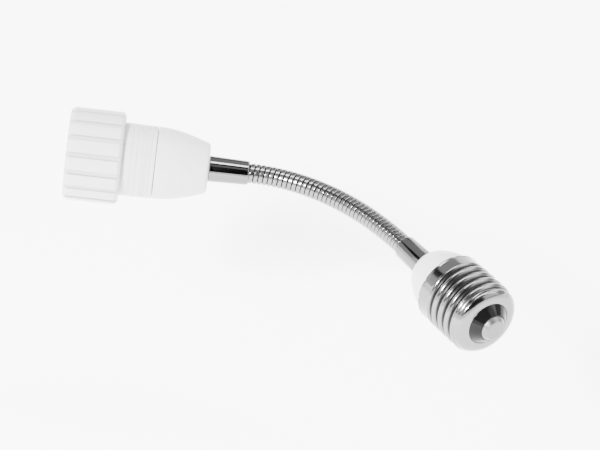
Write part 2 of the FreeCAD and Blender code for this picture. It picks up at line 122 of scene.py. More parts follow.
lens = bpy.data.cameras.new("camera")
lens.lens = LENS
lens.clip_end = 20.0
camera = bpy.data.objects.new("camera", lens)
bpy.context.collection.objects.link(camera)
turn = Matrix((rightward, upward, -looking)).transposed().to_4x4()
camera.matrix_world = Matrix.Translation(Vector(eye * MM)) @ turn
bpy.context.scene.camera = camera
print("Camera at", np.round(eye * MM, 3), "m")

# %% [markdown]
# ## Meshes from arrays
# Every piece here is one or more grids of points. A grid can close on itself in either direction, as a
# turned piece closes round its axis. Each face corner gets a UV that counts millimetres along the
# profile and turns round the axis, so that turning marks and grain can follow the shape.


# %% Grids to meshes
def grid_mesh(name, grids, place):
    """One closed mesh from grids. A grid is (points[i, j], rows close, columns close, v in mm)."""
    corners, faces, uvs = [], [], []
    offset = 0
    for points, close_rows, close_columns, along in grids:
        rows, columns = points.shape[:2]
        i, j = np.meshgrid(np.arange(rows if close_rows else rows - 1),
                           np.arange(columns if close_columns else columns - 1), indexing="ij")
        i, j = i.ravel(), j.ravel()
        i_next, j_next = i + 1, j + 1
        index = np.stack([(i % rows) * columns + j % columns,
                          (i % rows) * columns + j_next % columns,
                          (i_next % rows) * columns + j_next % columns,
                          (i_next % rows) * columns + j % columns], 1)
        along = np.append(along, along[-1] + 1.0)
        uv = np.stack([np.stack([j / columns, along[i]], 1), np.stack([j_next / columns, along[i]], 1),
                       np.stack([j_next / columns, along[i_next]], 1),
                       np.stack([j / columns, along[i_next]], 1)], 1)
        corners.append(place(points.reshape(-1, 3)))
        faces.append(index + offset)
        uvs.append(uv.reshape(-1, 2))
        offset += rows * columns
    mesh = bpy.data.meshes.new(name)
    mesh.from_pydata(np.vstack(corners).tolist(), [], np.vstack(faces).tolist())
    layer = mesh.uv_layers.new(name="UVMap")
    layer.data.foreach_set("uv", np.vstack(uvs).ravel().astype(np.float32))
    return mesh


def clean(mesh, angle=40):
    """Closes seams and poles, points the faces outwards, and smooths all but sharp edges."""
    made = bmesh.new()
    made.from_mesh(mesh)
    bmesh.ops.remove_doubles(made, verts=made.verts, dist=0.5e-6)
    bmesh.ops.dissolve_degenerate(made, edges=made.edges, dist=0.2e-6)
    bmesh.ops.recalc_face_normals(made, faces=made.faces)
    made.to_mesh(mesh)
    made.free()
    mesh.polygons.foreach_set("use_smooth", [True] * len(mesh.polygons))
    mesh.set_sharp_from_angle(angle=math.radians(angle))
    return mesh


def with_depth(mesh, depth):
    """Writes a mask from 0 to 1 as the attribute groove, by which the finishes darken: painted shade on the
    plastic, and painted shade with dirt by the depth of the metals' grooves.
    """
    layer = mesh.attributes.new("groove", "FLOAT", "POINT")
    layer.data.foreach_set("value", np.asarray(depth, np.float32).ravel())


def piece(mesh, material, body=None, blend=None, nodes=()):
    """An object for a finished mesh, with its finish, its body and the nodes that it stands for."""
    made = bpy.data.objects.new(mesh.name, mesh)
    bpy.context.collection.objects.link(made)
    mesh.materials.append(material)
    if body:
        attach(made, body)
    if blend:
        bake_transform(made)
    if nodes:
        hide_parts(*nodes)
    print(f"{mesh.name}: {len(mesh.polygons)} faces")
    return made


# %% [markdown]
# ## Turned profiles
# A turned piece is a closed outline of (radius, height) swept round its axis. Real edges are never
# sharp: a small arc at each corner catches the light. The outline is therefore written as corners, each
# with its own radius, and one helper rounds them all.


# %% Rounding an outline
def rounded(corners, steps=4):
    """The outline with arcs at its corners. A corner is (radius, height) or (radius, height, arc)."""
    points = np.array([corner[:2] for corner in corners], float)
    before, after = np.roll(points, 1, 0), np.roll(points, -1, 0)
    out = []
    for corner, here, last, following in zip(corners, points, before, after):
        arc = corner[2] if len(corner) > 2 else 0.0
        towards_last, towards_next = last - here, following - here
        reach = min(np.linalg.norm(towards_last), np.linalg.norm(towards_next))
        if arc <= 0 or reach < 1e-6:
            out.append(here[None])
            continue
        towards_last /= np.linalg.norm(towards_last)
        towards_next /= np.linalg.norm(towards_next)
        half = math.acos(np.clip(towards_last @ towards_next, -1, 1)) / 2
        set_back = min(arc / math.tan(half), 0.49 * reach)
        radius = set_back * math.tan(half)
        bisector = towards_last + towards_next
        bisector /= np.linalg.norm(bisector)
        centre = here + bisector * radius / math.sin(half)
        share = np.linspace(-1, 1, steps + 1)[:, None] * (math.pi / 2 - half)
        side = (towards_next - towards_last) / np.linalg.norm(towards_next - towards_last)
        out.append(centre - bisector * radius * np.cos(share) + side * radius * np.sin(share))
    return np.vstack(out)


def ease(t):
    """The smooth step 3 t^2 - 2 t^3, from 0 to 1."""
    return t * t * (3 - 2 * t)


def smooth_curve(knots, count):
    """A smooth curve through knots (radius, height): a cubic between each two, sloped by neighbours."""
    knots = np.array(knots, float)
    t = np.linspace(0, len(knots) - 1, count)
    i = np.clip(t.astype(int), 0, len(knots) - 2)
    f = (t - i)[:, None]
    slope = np.gradient(knots, axis=0)
    p, q, m, n = knots[i], knots[i + 1], slope[i], slope[i + 1]
    return ((2 * f ** 3 - 3 * f ** 2 + 1) * p + (f ** 3 - 2 * f ** 2 + f) * m
            + (3 * f ** 2 - 2 * f ** 3) * q + (f ** 3 - f ** 2) * n)


def turned_grid(outline, columns=96):
    """Points x = r cos a, y = r sin a, z = height, over an outline's rows and a full turn of a."""
    a = np.linspace(0, TAU, columns, endpoint=False)
    r, z = outline[:, 0:1], outline[:, 1:2]
    points = np.stack([r * np.cos(a), r * np.sin(a), np.broadcast_to(z, (len(r), columns))], -1)
    steps = np.linalg.norm(np.diff(outline, axis=0), axis=1)
    return points, True, True, np.concatenate([[0], np.cumsum(steps)])


def turned(name, corners, place, columns=96, shade=None):
    """A closed turned mesh from an outline's corners. shade(radius, height) gives its painted shade, from 0 to 1.
    """
    outline = rounded(corners) if isinstance(corners, list) else corners
    mesh = grid_mesh(name, [turned_grid(outline, columns)], place)
    if shade:
        with_depth(mesh, np.repeat(shade(outline[:, 0], outline[:, 1]), columns))
    return clean(mesh)


# %% [markdown]
# ## Shader arithmetic
# Procedural finishes are sums: a base value, plus a little noise, times a mask. Node graphs hide such
# sums, so a small class wraps a socket and lets ordinary Python operators add the Math nodes.


# %% A socket that takes arithmetic
class Value:
    """One output socket of a material's tree."""

    def __init__(self, finish, out):
        self.finish, self.out = finish, out

    def _math(self, operation, first, second):
        return self.finish.node("ShaderNodeMath", {"operation": operation}, {0: first, 1: second})

    def __add__(self, other):
        return self._math("ADD", self, other)

    def __sub__(self, other):
        return self._math("SUBTRACT", self, other)

    def __rsub__(self, other):
        return self._math("SUBTRACT", other, self)

    def __mul__(self, other):
        return self._math("MULTIPLY", self, other)

    __radd__ = __add__
    __rmul__ = __mul__

    def between(self, low, high):
        """0 below low, 1 above high, and a smooth step between them."""
        return self.finish.node("ShaderNodeMapRange", {"interpolation_type": "SMOOTHSTEP"},
                                {"Value": self, "From Min": low, "From Max": high})


class Finish:
    """A material with one Principled shader, and node() to add what varies over it."""

    def __init__(self, name, **numbers):
        self.material = bpy.data.materials.new(name)
        self.material.use_nodes = True
        self.tree = self.material.node_tree
        self.shader = self.tree.nodes["Principled BSDF"]
        for socket_name, number in numbers.items():
            self.shader.inputs[socket_name.replace("_", " ")].default_value = number

    def node(self, kind, settings=None, inputs=None, output=0):
        """Adds a node: its settings first, then the values or links of its inputs."""
        made = self.tree.nodes.new(kind)
        for key, setting in (settings or {}).items():
            setattr(made, key, setting)
        for key, given in (inputs or {}).items():
            self.put(made.inputs[key], given)
        return Value(self, made.outputs[output])

    def put(self, target, given):
        """A link where a Value is given, else a plain number or colour."""
        if isinstance(given, Value):
            self.tree.links.new(given.out, target)
        else:
            target.default_value = given

    def set(self, **sockets):
        """Links or numbers for the shader's own sockets."""
        for key, given in sockets.items():
            self.put(self.shader.inputs[key.replace("_", " ")], given)
        return self

    def noise(self, scale, detail=3.0, vector=None):
        """Noise from 0 to 1 over the piece's own place, in metres, or over the vector given."""
        where = vector or self.node("ShaderNodeTexCoord", output=3)
        return self.node("ShaderNodeTexNoise", {}, {"Vector": where, "Scale": scale, "Detail": detail})

    def profile(self, around, along):
        """The piece's UV, stretched: turns round the axis, and millimetres along the profile."""
        uv = self.node("ShaderNodeUVMap", {"uv_map": "UVMap"})
        return self.node("ShaderNodeVectorMath", {"operation": "MULTIPLY"},
                         {0: uv, 1: (around, along, 1.0)})

    def mix(self, factor, first, second):
        """A colour between two colours, which are the Mix node's sockets 6 and 7."""
        return self.node("ShaderNodeMix", {"data_type": "RGBA"},
                         {0: factor, 6: first, 7: second}, output=2)

    def bump(self, height, strength, distance):
        """A bumped normal from a height."""
        return self.node("ShaderNodeBump", {}, {"Height": height, "Strength": strength,
                                                "Distance": distance})


def colour(red, green, blue):
    return (red, green, blue, 1.0)


# %% [markdown]
# ## White moulded plastic
# The ring, the body, the cover and the neck are satin white mouldings. Their polish is not quite even,
# so the roughness drifts slowly and a very fine ripple moves the normal. The body also has faint grey
# streaks, which its turned mould leaves: noise that is stretched round the axis by the UV. The attribute
# groove carries painted shade: it makes the flutes' edges and the seam greyer, where little light comes
# out again.

# %% White plastic
def moulding(name, streaks):
    """White plastic with painted shade, greyer where the attribute groove is 1, and streaks drawn round its axis.
    """
    made = Finish(name, IOR=1.30)
    groove = made.node("ShaderNodeAttribute", {"attribute_name": "groove"}, output=2)
    drawn = made.noise(1.0, 4.0, made.profile(1.5, 2.2))
    unshaded_tone = made.mix(made.noise(60.0) * 0.2 + drawn.between(0.42, 0.68) * streaks,
                          colour(0.48, 0.48, 0.478), colour(0.31, 0.31, 0.309))
    # painted shade: the attribute groove mixes the tone towards dark grey at the flutes' edges and in the seam
    made.set(Base_Color=made.mix(1 - groove * 0.85, colour(0.09, 0.09, 0.09), unshaded_tone),
             Roughness=made.noise(220.0) * 0.10 + 0.24,
             Normal=made.bump(drawn * streaks + made.noise(2600.0, 2.0) * 0.5, 0.1, 0.00005))
    return made


white = moulding("white_plastic", 0.1)
streaked = moulding("white_plastic_streaked", 0.7)
print("White plastics made")

# %% [markdown]
# ## Plated metal
# The ferrules are turned and then nickel-plated. A lathe leaves rings, so the noise is drawn out round
# the axis: it changes quickly along the profile and hardly at all round it.


# %% Bright plating and its turning marks
def plated(name, tint, roughness, rings, depth):
    """A metal whose polish and height vary in rings along the profile."""
    made = Finish(name, Metallic=1.0)
    ring = made.noise(1.0, 4.0, made.profile(0.6, rings))
    smear = made.noise(180.0)
    made.set(Base_Color=made.mix(smear, colour(*tint), colour(*[0.93 * part for part in tint])),
             Roughness=ring * 0.06 + smear * 0.04 + roughness,
             Normal=made.bump(ring, 0.25, depth))
    return made


bright = plated("bright_plating", (0.13, 0.129, 0.128), 0.05, 9.0, 0.000006)
tin = plated("tin_plated_contact", (0.14, 0.139, 0.138), 0.30, 6.0, 0.000015)
zinc = plated("zinc_steel", (0.52, 0.53, 0.55), 0.28, 5.0, 0.000010)
bronze = plated("contact_bronze", (0.80, 0.56, 0.30), 0.22, 5.0, 0.000010)
print("Plated metals made")

# %% [markdown]
# ## Grooved metal
# The gooseneck's turns and the shell's thread are bright on their crests and dull and dark in their
# grooves, with painted shade and with dirt that stays where plating is thin. Both meshes carry the depth
# of their grooves as an attribute, from 0 on a crest to 1 on a floor, and the finish mixes two metals by it.


# %% Coil and shell
def grooved(name, crest, floor, start, full, scale, polish):
    """A metal that turns from its crest's colour to its floor's dark, which is painted shade and dirt, where the
    groove gets deep.
    """
    made = Finish(name, Metallic=1.0)
    depth = made.node("ShaderNodeAttribute", {"attribute_name": "groove"}, output=2)
    speck = made.noise(scale)
    cloud = made.noise(90.0)
    bright_metal = made.mix(cloud, colour(*crest), colour(*[0.8 * part for part in crest]))
    made.set(Base_Color=made.mix(depth.between(start, full), bright_metal, colour(*floor)),
             Roughness=speck * 0.06 + depth * 0.2 + polish,
             Normal=made.bump(speck, 0.1, 0.00001))
    return made


# the near-black floor colours are painted shade and dirt in the grooves
coil_steel = grooved("coil_steel", (0.18, 0.179, 0.178), (0.015, 0.015, 0.015),
                     0.25, 0.8, 900.0, 0.16)
sheet_metal = grooved("plated_shell", (0.18, 0.179, 0.178), (0.012, 0.012, 0.012),
                      0.25, 0.85, 400.0, 0.13)
print("Coil and shell metals made")

# %% [markdown]
# ## The other materials
# The cap's insulator is glossy black, and the socket's insert is pale ceramic, which is a little grainy.
# The two wires have silicone insulation.

# %% Insulators
black = Finish("black_insulator", IOR=1.22)
black.set(Base_Color=black.mix(black.noise(300.0), colour(0.001, 0.001, 0.001),
                               colour(0.004, 0.004, 0.004)),
          Roughness=black.noise(150.0) * 0.10 + 0.06)
ceramic = Finish("insert_ceramic", IOR=1.55)
grain = ceramic.noise(1500.0, 5.0)
ceramic.set(Base_Color=ceramic.mix(grain, colour(0.78, 0.76, 0.70), colour(0.86, 0.84, 0.79)),
            Roughness=grain * 0.2 + 0.45, Normal=ceramic.bump(grain, 0.2, 0.00004))


def insulation(name, tint):
    """Soft matt wire insulation."""
    made = Finish(name, IOR=1.41)
    soft = made.noise(500.0)
    made.set(Base_Color=made.mix(soft, colour(*tint), colour(*[0.8 * part for part in tint])),
             Roughness=soft * 0.15 + 0.5)
    return made


brown = insulation("brown_insulation", (0.16, 0.07, 0.03))
blue = insulation("blue_insulation", (0.05, 0.12, 0.36))
print("Insulators made")

# %% [markdown]
# ## The front ring
# The ring is fluted for the fingers: sixteen grooves between broad lobes, run out through a bevel at
# each end. It is one surface: the radius at a row of the outline, less the groove wherever the outline
# stands outside the groove's floor. Columns crowd at the grooves' edges, where the shape changes.

# %% The fluted ring
FLUTES = 16
FLUTE_TURN = math.radians(14.3)    # the top to the first groove
LOBE = 16.7                        # mm, the lobes' radius
LOBE_CROWN = 0.10                  # mm, how far a lobe's middle stands over its edges
BEVEL_FOOT = 15.6                  # mm, the radius at which the bevels end
RECESS_WALL = 14.6                 # mm, a radius between the lamp's recess and the ring's outside
FLUTE_FLOOR = 16.05
FLUTE_HALF = 0.62                  # mm, half the floor's width
FLUTE_SLOPE = 0.34                 # mm, from the floor's edge to the lobe
FLUTE_REACH = 1.25                 # mm, the columns crowd this far from a groove's middle
# painted shade of the flutes, on a groove's sides and on its floor
SIDE_SHADE, FLOOR_SHADE = 3.2, 0.25
ring_outline = rounded([
    (14.2, 0.0, 0.25), (BEVEL_FOOT, 0.0, 0.35), (LOBE, 1.5, 0.6), (LOBE, 18.7, 0.6),
    (15.5, 19.7, 0.3), (13.2, 19.7, 0.15), (13.2, 7.0), (11.2, 7.0), (11.2, 5.0, 0.3),
    (14.2, 5.0, 0.3)], 6)


def fluted_ring():
    """The grid of r(a, row) = R - m(a) max(0, R - floor) - crown, and its shade.

    R is the outline's radius, and m is 1 in a groove, 0 on a lobe and a smooth step between them. The
    crown lowers a lobe's edges by the square of the way from its middle. The shade is painted shade for
    the plastic's colour, and it is greatest half-way up a groove's sides.
    """
    pitch = TAU * LOBE / FLUTES
    near = np.linspace(-FLUTE_REACH, FLUTE_REACH, 21)
    far = np.linspace(near[-1], pitch + near[0], 10)[1:-1]
    across = np.concatenate([near, far])
    offset = np.abs(across) - FLUTE_HALF
    mask = 1 - np.clip(offset / FLUTE_SLOPE, 0, 1)
    mask = np.tile(np.where(across < pitch / 2, ease(mask), 0), FLUTES)
    from_groove = np.minimum(np.abs(across), np.abs(pitch - across))
    crown = np.tile(LOBE_CROWN * (2 * from_groove / pitch - 1) ** 2, FLUTES)
    a = (np.tile(across, FLUTES) + np.repeat(np.arange(FLUTES) * pitch, len(across))) / LOBE
    rows = np.vstack([ring_outline[:1], *[np.linspace(p, q, 4)[1:] for p, q in
                                          zip(ring_outline, np.roll(ring_outline, -1, 0))]])[:-1]
    r, z = rows[:, 0:1], rows[:, 1:2]
    outside = r > RECESS_WALL
    cut = mask * np.maximum(0, r - FLUTE_FLOOR) + crown * np.clip(r - BEVEL_FOOT, 0, 1)
    r = np.where(outside, r - cut, r)
    a = a + FLUTE_TURN
    points = np.stack([r * np.cos(a), r * np.sin(a), np.broadcast_to(z, r.shape)], -1)
    steps = np.linalg.norm(np.diff(rows, axis=0), axis=1)
    shade = outside * np.maximum(SIDE_SHADE * mask * (1 - mask), FLOOR_SHADE * mask)
    return (points, True, True, np.concatenate([[0], np.cumsum(steps)])), shade


ring_grid, ring_shade = fluted_ring()
ring_mesh = grid_mesh("front_ring_moulded", [ring_grid], socket)
with_depth(ring_mesh, ring_shade)
clean(ring_mesh, 50)
piece(ring_mesh, white.material, "socket", nodes=["front_ring"])

# %% [markdown]
# ## The socket's body and rear cover
# The body is a plain tube that shows between the ring and the cover. The cover starts straight, then
# narrows ever faster to a rounded end. Both have a small bevel at their seam and a thin gap between
# them, and the faces inside that gap get painted shade, which makes the fine dark line on the real one.

# %% Body and cover
SEAM = 31.7
BODY_END, COVER_START = SEAM - 0.14, SEAM + 0.06
# painted shade: the seam's inner faces are coloured dark below this radius
SHADED = 12.9                      # mm, the radius below which the seam's faces are shaded


def in_seam(radius, height):
    """1 on the two faces inside the seam, where no light comes: they get painted shade."""
    return np.clip((SHADED - radius) / 0.1, 0, 1) * (np.abs(height - SEAM) < 0.3)


body_mesh = turned("socket_body_moulded", [
    (10.95, 9.6), (13.05, 9.6), (13.12, 19.6), (12.92, BODY_END, 0.16), (11.75, BODY_END),
    (11.75, 35.3), (10.95, 35.3)], socket, 128, in_seam)
piece(body_mesh, streaked.material, "socket", nodes=["socket_body"])

cover_curve = smooth_curve([(12.96, SEAM + 0.35), (12.9, 34.0), (12.62, 36.8), (12.02, 40.2),
                            (11.12, 43.8), (10.1, 47.2), (9.45, 49.2)], 40)
cover_outline = np.vstack([
    rounded([(11.85, 36.0), (11.85, COVER_START), (12.94, COVER_START, 0.2), (12.96, SEAM + 0.5)])[:-1],
    cover_curve,
    rounded([(9.45, 49.2), (9.05, 50.3, 1.0), (7.8, 50.85, 1.2), (4.05, 50.9), (4.0, 47.9)], 8)[1:-1],
    [(4.0, 47.9), (7.0, 47.9), (7.0, 36.0)]])
cover_mesh = turned("rear_cover_moulded", cover_outline, socket, 128, in_seam)
piece(cover_mesh, white.material, "socket", nodes=["rear_cover"])

# %% [markdown]
# ## Ferrules
# Both ends of the gooseneck sit in the same turned ferrule: a slight taper, a bevel at its mouth, and a
# shallow recess that takes the coil's last turn. Its threaded stub goes through the wall behind it.


# %% Ferrules
FERRULE = 14.4                     # mm, the length outside its seat
WAY = 2.2                          # mm, the radius of the way for the wires
STUB, STUB_LENGTH = 3.9, 7.0
RECESS, RECESS_DEPTH = 3.66, 1.4
CAP_SEAT, SOCKET_SEAT = 40.7, 50.9


def ferrule(name, seat, place, body, node):
    """A turned ferrule that stands on a seat."""
    end = seat + FERRULE
    mesh = turned(name, [
        (WAY, seat - STUB_LENGTH), (STUB, seat - STUB_LENGTH, 0.2), (STUB, seat + 0.02),
        (4.68, seat + 0.02, 0.15), (4.32, end - 0.45, 0.25), (4.0, end, 0.12), (RECESS, end, 0.06),
        (RECESS, end - RECESS_DEPTH), (WAY, end - RECESS_DEPTH)], place, 96)
    piece(mesh, bright.material, body, nodes=[node])


ferrule("plug_ferrule_turned", CAP_SEAT, cap, "cap", "plug_ferrule")
ferrule("socket_ferrule_turned", SOCKET_SEAT, socket, "socket", "socket_ferrule")

# %% [markdown]
# ## The neck of the cap
# The neck is a moulding whose foot stands in the shell. Outside it is a cone that rounds over into a
# flat end, where the ferrule stands.

# %% The neck
RIM = 28.0
neck_curve = smooth_curve([(12.12, RIM + 0.1), (11.5, RIM + 3.6), (10.55, RIM + 6.6), (9.9, RIM + 8.1),
                           (9.05, RIM + 9.9), (8.1, RIM + 11.3), (7.35, RIM + 12.1)], 44)
neck_outline = np.vstack([
    [(7.6, 37.7), (7.6, 23.5), (12.55, 23.5), (12.55, RIM - 1.25), (12.2, RIM - 1.2)],
    neck_curve,
    rounded([(7.35, RIM + 12.1), (6.9, RIM + 12.65, 0.7), (4.05, RIM + 12.7), (4.0, 37.7)], 8)[1:-1],
    [(4.0, 37.7)]])
neck_mesh = turned("plug_neck_moulded", neck_outline, cap, 128)
piece(neck_mesh, white.material, "cap", nodes=["plug_neck"])

# %% [markdown]
# ## The screw shell
# The shell is thin sheet with a thread rolled into it. Its radius is a wave whose phase is
# height / pitch - turns, so the wave's crest climbs like a right-hand screw. The wave fades out into
# the rounded shoulder and into the plain skirt. The rim has a small bead, and it is staked down onto
# the neck in twelve small notches.

# %% The threaded shell
PITCH = 3.629
CREST, ROOT, SKIRT = 13.2, 12.1, 13.0
SHEET = 0.35
OPENING, LIP = 8.0, 9.2            # mm, the radii of the opening and of the flat ring round it
FACE = 4.6                         # mm, the height of that flat ring
SHOULDER = 3.8                     # mm, the shoulder's round
SHOULDER_END = 8.4
FADE_IN, FADE_IN_SPAN = 6.0, 2.0   # mm, where the thread starts and how soon it is full
FADE_OUT, FADE_OUT_SPAN = RIM - 4.2, 1.9
BEAD, BEAD_PLACE, BEAD_WIDTH = 0.14, RIM - 0.45, 0.28
STAKES = 12
STAKE_DEPTH, STAKE_HALF = 0.5, 0.6
STAKE_FOOT = RIM - 2.6             # mm, the rows above this height lean down to the stakes
LIFTED = 8.0                       # mm, the inner wall is lifted off the face below this height
# the thread's grooves get their painted shade and dirt only above this height
DARKENED = 7.5                     # mm, the grooves are dark above this height
CREST_THERE = RIM - 8.3            # mm, a crest faces the camera at this height
facing = cap.angle_of(-looking)
phase_there = CREST_THERE / PITCH - facing / TAU


def shell_surface():
    """r = skirt + fade (wave - skirt) + bead, and how deep each point lies in a groove.

    The wave is mean + half depth cos(turns), and a power under 1 broadens its crests and grooves. The
    fade is a smooth step at each end of the thread. The bead is a bell curve of the height at the rim.
    The shoulder is a quarter turn that bulges 2 % less at its middle, and the rim dips in a V at each
    stake.
    """
    columns = 192
    a = np.linspace(0, TAU, columns, endpoint=False)
    arc = np.linspace(0, math.pi / 2, 12)
    bulge = SHOULDER * (1 - 0.02 * np.sin(2 * arc))
    shoulder_r = LIP + bulge * np.sin(arc)
    shoulder_z = SHOULDER_END - bulge * np.cos(arc)
    wall_z = np.linspace(SHOULDER_END, RIM, 110)[1:]
    r_rows = np.concatenate([[OPENING], shoulder_r, np.full(len(wall_z), SKIRT)])
    z_rows = np.concatenate([[FACE], shoulder_z, wall_z])
    z = np.broadcast_to(z_rows[:, None], (len(z_rows), columns)).copy()
    turns = z / PITCH - a / TAU - phase_there
    wave = np.cos(TAU * turns)
    wave = np.sign(wave) * np.abs(wave) ** 0.8
    threaded = (CREST + ROOT) / 2 + (CREST - ROOT) / 2 * wave
    fade = ease(np.clip((z - FADE_IN) / FADE_IN_SPAN, 0, 1)
                * np.clip((FADE_OUT - z) / FADE_OUT_SPAN, 0, 1))
    bead = BEAD * np.exp(-((z - BEAD_PLACE) / BEAD_WIDTH) ** 2)
    r = r_rows[:, None] + fade * (threaded - SKIRT) + bead
    near_stake = np.abs((a * STAKES / TAU + 0.5) % 1 - 0.5) * TAU / STAKES * SKIRT
    notch = STAKE_DEPTH * np.clip(1 - near_stake / STAKE_HALF, 0, 1)
    dipped = STAKE_FOOT + (z - STAKE_FOOT) * (RIM - notch - STAKE_FOOT) / (RIM - STAKE_FOOT)
    z = np.where(z > STAKE_FOOT, dipped, z)
    outer = np.stack([r * np.cos(a), r * np.sin(a), z], -1)
    inner_r = np.maximum(r - SHEET, OPENING)
    inner_z = z + np.where(z_rows[:, None] < LIFTED, SHEET * (1 - z_rows[:, None] / LIFTED) * 2, 0)
    inner = np.stack([inner_r * np.cos(a), inner_r * np.sin(a), inner_z], -1)[::-1]
    points = np.concatenate([outer, inner])
    groove = np.clip((SKIRT - r) / (SKIRT - ROOT), 0, 1) * (z_rows[:, None] > DARKENED)
    return points, np.concatenate([groove, np.zeros_like(r)])


shell_points, shell_groove = shell_surface()
shell_rows = np.arange(len(shell_points)) * 0.2
shell_mesh = grid_mesh("screw_shell_rolled", [(shell_points, True, True, shell_rows)], cap)
with_depth(shell_mesh, shell_groove)
clean(shell_mesh, 60)
piece(shell_mesh, sheet_metal.material, "cap", nodes=["screw_shell"])

# %% [markdown]
# ## Insulator and centre contact
# The black insulator is a cone between the shell's opening and the contact, polished by its mould. The
# contact is a disc with a worn bevel, slightly domed where it rubs on the lamp holder's spring.

# %% Insulator and contact
insulator_mesh = turned("plug_insulator_moulded", [
    (2.0, 1.7), (4.75, 1.7, 0.15), (5.1, 1.8, 0.15), (7.88, 4.55, 0.3), (7.9, 8.4), (9.0, 8.4),
    (9.0, 10.8), (4.4, 10.8), (4.4, 12.6), (2.0, 12.6)], cap, 96)
piece(insulator_mesh, black.material, "cap", nodes=["plug_insulator"])
contact_mesh = turned("centre_contact_turned", [
    (0.0, 0.0), (2.4, 0.02, 0.4), (3.6, 0.12, 0.25), (4.65, 1.6, 0.12), (4.65, 1.7), (1.9, 1.7),
    (1.9, 13.6), (1.4, 13.6), (1.4, 1.6), (0.0, 1.6)], cap, 72)
piece(contact_mesh, tin.material, "cap", nodes=["centre_contact"])

# %% [markdown]
# ## The gooseneck's line
# The coil follows one smooth line from ferrule to ferrule. Its heading turns slowly at the cap and
# faster at the socket, and the line is the running sum of that heading. The joints lie on it, one
# inside each stretch of coil.

# %% The line through the gooseneck
HOSE = 70.0                        # mm, ferrule to ferrule along the line
GAP = 1.5                          # mm, between two stiff lengths
BEND = 55.0                        # degrees, between the two ferrules' axes
LEAN = 0.55                        # how much tighter than its mean the bend is at the socket
FINE = 2801
CAP_END, SOCKET_END = CAP_SEAT + FERRULE, SOCKET_SEAT + FERRULE
hinges = [np.array(joint["pos_m"]) / MM for joint in frame["joints"]]
bodies = ["cap"] + [f"coil_{number:02d}" for number in range(1, 10)] + ["socket"]


def hose_line():
    """Places and headings: heading = 180 - bend + bend (t - lean t (1 - t)), summed step by step."""
    s = np.linspace(0, HOSE, FINE)
    t = np.clip((s - GAP / 2) / (HOSE - GAP), 0, 1)
    heading = np.radians(180 - BEND + BEND * (t - LEAN * t * (1 - t)))
    middle = (heading[1:] + heading[:-1]) / 2
    steps = np.stack([np.cos(middle), np.sin(middle)], 1) * (s[1] - s[0])
    start = -cap_outward[:2] * CAP_END
    line = np.vstack([start, start + np.cumsum(steps, 0)])
    goal = mouth[:2] + socket_inward[:2] * SOCKET_END
    line += (s / HOSE)[:, None] * (goal - line[-1])
    return s, line, heading


hose_s, hose_xy, hose_heading = hose_line()
print("Hose ends", np.round(hose_xy[-1], 3))


def on_line(s):
    """(point, direction) of the line at lengths s, carried straight on beyond both ends."""
    inside = np.clip(s, 0, HOSE)
    xy = np.stack([np.interp(inside, hose_s, hose_xy[:, k]) for k in (0, 1)], -1)
    heading = np.interp(inside, hose_s, hose_heading)
    along = np.stack([np.cos(heading), np.sin(heading)], -1)
    return xy + along * (s - inside)[..., None], along


def swept(s, radius, angle, lift=0.0):
    """Points round the line: line + r cos(a) up + r sin(a) sideways, raised by lift."""
    xy, along = on_line(s)
    side = np.stack([along[..., 1], -along[..., 0]], -1)
    flat = xy + side * (radius * np.sin(angle))[..., None]
    return np.concatenate([flat, (radius * np.cos(angle) + lift)[..., None]], -1)


def as_is(points):
    """The place of points that are already in the row's frame, in millimetres."""
    return np.asarray(points) * MM


# %% [markdown]
# ## The wound coil
# The gooseneck is wound from a round wire with a three-sided one pressed between its turns, which
# leaves rounded bands with fine grooves that climb in a helix. The band's height is a function of the
# phase s / pitch - turns. The coil is cut at the middle of each stiff length, and for each stretch the
# two bodies beside its joint and the ends of the turn across it are worked out.

# %% The coil
WIND = 1.885                       # mm, one turn of the coil
COIL, BORE = 3.60, 2.3             # mm, its radius over the bands, and inside
CROWN, GROOVE = 0.04, 0.60         # mm, a band's rise at its middle, and the groove's depth
GROOVE_START, GROOVE_SLOPE = 0.70, 0.28
STEP = (HOSE - GAP) / 9
TUCK = 1.3                         # mm, how far the coil goes into the ferrules
ROWS_PER_TURN, AROUND = 18, 64
FAR_FIRST = 2                      # the joint whose blend is written from its far body


def band(phase):
    """(radius, groove) across one band: a shallow crown that falls away into the groove."""
    w = np.abs(2 * (phase % 1) - 1)
    drop = ease(np.clip((w - GROOVE_START) / GROOVE_SLOPE, 0, 1))
    return COIL - CROWN * w ** 2 - GROOVE * drop, drop


def coil_stretch(number, start, end):
    """One stretch of coil between two lengths, closed by its bore."""
    rows = int(round((end - start) / WIND * ROWS_PER_TURN)) + 1
    s, a = np.meshgrid(np.linspace(start, end, rows), np.linspace(0, TAU, AROUND, endpoint=False),
                       indexing="ij")
    r, groove = band(s / WIND + a / TAU)
    outer = swept(s, r, a)
    bore_s, bore_a = np.meshgrid(np.linspace(end, start, 9), a[0], indexing="ij")
    bore = swept(bore_s, np.full_like(bore_s, BORE), bore_a)
    points = np.concatenate([outer, bore])
    rings = np.arange(len(points)) * 0.1
    mesh = grid_mesh(f"gooseneck_coil_{number:02d}", [(points, True, True, rings)], as_is)
    with_depth(mesh, np.concatenate([groove, np.zeros_like(bore_s)]))
    return clean(mesh, 60)


def across_joint(number, reach=2.9):
    """The blend over a joint: its two bodies, and where the turn starts and ends.

    One joint's is written from its far body to its near one, because in the usual order rounding makes a
    step there when every joint stands at its upper limit.
    """
    here = hinges[number]
    middle = float(np.argmin(np.linalg.norm(hose_xy - here[:2], axis=1)) * HOSE / (FINE - 1))
    before, after = max(middle - reach, 0.05), min(middle + reach, HOSE - 0.05)
    ends = [swept(np.array([s]), np.zeros(1), np.zeros(1))[0] * MM for s in (before, after)]
    if number == FAR_FIRST:
        return bodies[number + 1], bodies[number], tuple(ends[1]), tuple(ends[0])
    return bodies[number], bodies[number + 1], tuple(ends[0]), tuple(ends[1])


